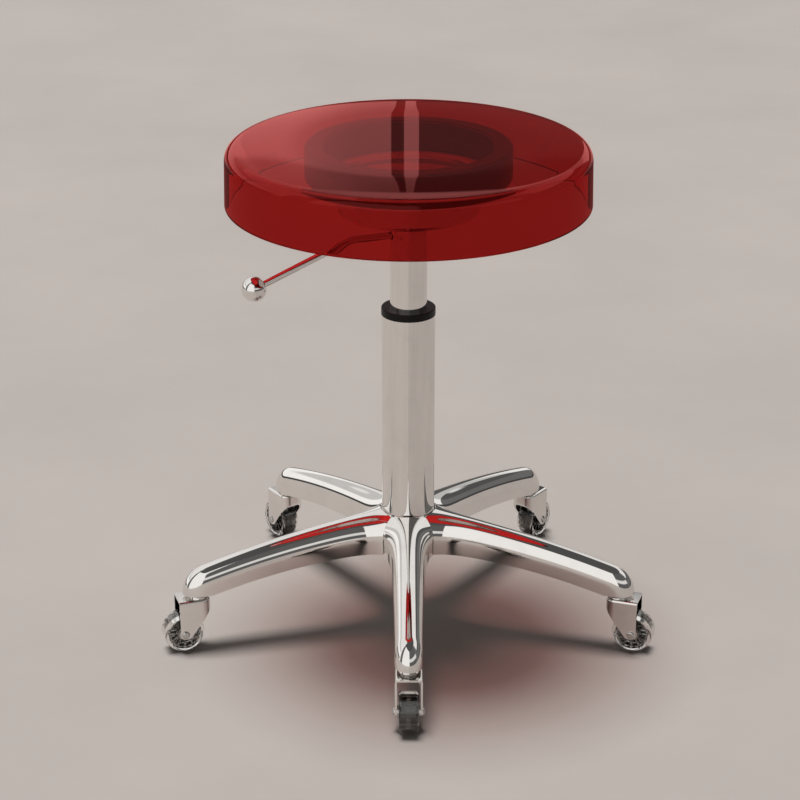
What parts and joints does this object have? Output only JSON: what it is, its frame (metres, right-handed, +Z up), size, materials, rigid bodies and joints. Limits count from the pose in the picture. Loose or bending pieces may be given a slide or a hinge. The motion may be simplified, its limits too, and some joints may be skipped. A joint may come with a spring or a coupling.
{
  "type": "salon stool",
  "caption": "Round backless stool on swivel casters: a see-through cap seat on a telescoping gas column with a height lever and a bright star base.",
  "frame": {"origin": "on the floor, on the axis of the column", "axes": "+Z up along the column; -Y along the leg that points at the viewer in the picture"},
  "size_m": [0.4882, 0.4647, 0.4986],
  "materials": {
    "red_clear_plastic": "see-through tinted moulding, polished",
    "dark_plastic": "satin moulding",
    "black_plastic": "satin moulding",
    "bond": "adhesive foam tape",
    "chrome": "polished plating",
    "steel": "machined",
    "clear_tyre": "clear cast polyurethane",
    "core_plastic": "grey moulding"
  },
  "bodies": {
    "base": {"outer_tube": "chrome", "column_collar": "black_plastic", "foot_plate": "steel", "thrust_washer_lower": "steel", "thrust_balls": "steel", "thrust_cage": "black_plastic", "base_hub": "chrome", "stem_sockets": "steel", "caster_stems": "steel", "swivel_races": "chrome", "swivel_balls": "chrome", "leg_1": "chrome", "leg_2": "chrome", "leg_3": "chrome", "leg_4": "chrome", "leg_5": "chrome"},
    "gas_rod": {"piston_rod": "steel", "piston": "steel", "thrust_washer_upper": "steel", "rod_clip": "steel"},
    "seat": {"seat_shell": "red_clear_plastic", "bond_ring": "bond", "support_ring": "dark_plastic", "mounting_plate": "steel", "seat_tray": "chrome", "tray_screws": "steel", "inner_tube": "chrome", "tube_slider": "black_plastic", "taper_sleeve": "steel", "gas_cylinder": "steel", "gas_gland": "black_plastic", "lever_pin": "steel"},
    "lever": {"lever_rod": "chrome", "lever_knob": "chrome"},
    "release_pin": {"release_pin": "steel"},
    "caster_1": {"caster_fork_1": "chrome", "axle_bolt_1": "chrome"},
    "wheel_1": {"wheel_core_1": "core_plastic", "tyre_1": "clear_tyre", "wheel_bearings_1": "steel"},
    "caster_2": {"caster_fork_2": "chrome", "axle_bolt_2": "chrome"},
    "wheel_2": {"wheel_core_2": "core_plastic", "tyre_2": "clear_tyre", "wheel_bearings_2": "steel"},
    "caster_3": {"caster_fork_3": "chrome", "axle_bolt_3": "chrome"},
    "wheel_3": {"wheel_core_3": "core_plastic", "tyre_3": "clear_tyre", "wheel_bearings_3": "steel"},
    "caster_4": {"caster_fork_4": "chrome", "axle_bolt_4": "chrome"},
    "wheel_4": {"wheel_core_4": "core_plastic", "tyre_4": "clear_tyre", "wheel_bearings_4": "steel"},
    "caster_5": {"caster_fork_5": "chrome", "axle_bolt_5": "chrome"},
    "wheel_5": {"wheel_core_5": "core_plastic", "tyre_5": "clear_tyre", "wheel_bearings_5": "steel"}
  },
  "joints": [
    {"name": "seat_swivel", "type": "hinge", "parent": "base", "child": "gas_rod", "pos_m": [0, 0, 0.087], "axis": [0, 0, 1], "continuous": true},
    {"name": "seat_lift", "type": "slide", "parent": "gas_rod", "child": "seat", "axis": [0, 0, 1], "range_m": [-0.06, 0.07]},
    {"name": "lever_lift", "type": "hinge", "parent": "seat", "child": "lever", "pos_m": [-0.01128, -0.0041, 0.4086], "axis": [-0.342, 0.9397, 0], "range_deg": [0, 8], "stiffness_Nm_per_rad": 1},
    {"name": "pin_press", "type": "slide", "parent": "seat", "child": "release_pin", "axis": [0, 0, 1], "range_m": [-0.0018, 0]},
    {"name": "caster_swivel_1", "type": "hinge", "parent": "base", "child": "caster_1", "pos_m": [0, -0.2175, 0.055], "axis": [0, 0, 1], "continuous": true},
    {"name": "wheel_spin_1", "type": "hinge", "parent": "caster_1", "child": "wheel_1", "pos_m": [0, -0.2345, 0.02], "axis": [1, 0, 0], "continuous": true},
    {"name": "caster_swivel_2", "type": "hinge", "parent": "base", "child": "caster_2", "pos_m": [0.20685, -0.06721, 0.055], "axis": [0, 0, 1], "continuous": true},
    {"name": "wheel_spin_2", "type": "hinge", "parent": "caster_2", "child": "wheel_2", "pos_m": [0.22302, -0.07246, 0.02], "axis": [0.309, 0.9511, 0], "continuous": true},
    {"name": "caster_swivel_3", "type": "hinge", "parent": "base", "child": "caster_3", "pos_m": [0.12784, 0.17596, 0.055], "axis": [0, 0, 1], "continuous": true},
    {"name": "wheel_spin_3", "type": "hinge", "parent": "caster_3", "child": "wheel_3", "pos_m": [0.13784, 0.18971, 0.02], "axis": [-0.809, 0.5878, 0], "continuous": true},
    {"name": "caster_swivel_4", "type": "hinge", "parent": "base", "child": "caster_4", "pos_m": [-0.12784, 0.17596, 0.055], "axis": [0, 0, 1], "continuous": true},
    {"name": "wheel_spin_4", "type": "hinge", "parent": "caster_4", "child": "wheel_4", "pos_m": [-0.13784, 0.18971, 0.02], "axis": [-0.809, -0.5878, 0], "continuous": true},
    {"name": "caster_swivel_5", "type": "hinge", "parent": "base", "child": "caster_5", "pos_m": [-0.20685, -0.06721, 0.055], "axis": [0, 0, 1], "continuous": true},
    {"name": "wheel_spin_5", "type": "hinge", "parent": "caster_5", "child": "wheel_5", "pos_m": [-0.22302, -0.07246, 0.02], "axis": [0.309, -0.9511, 0], "continuous": true}
  ],
  "couplings": [
    {"joint": "pin_press", "follows": "lever_lift", "m_per_rad": -0.012}
  ]
}
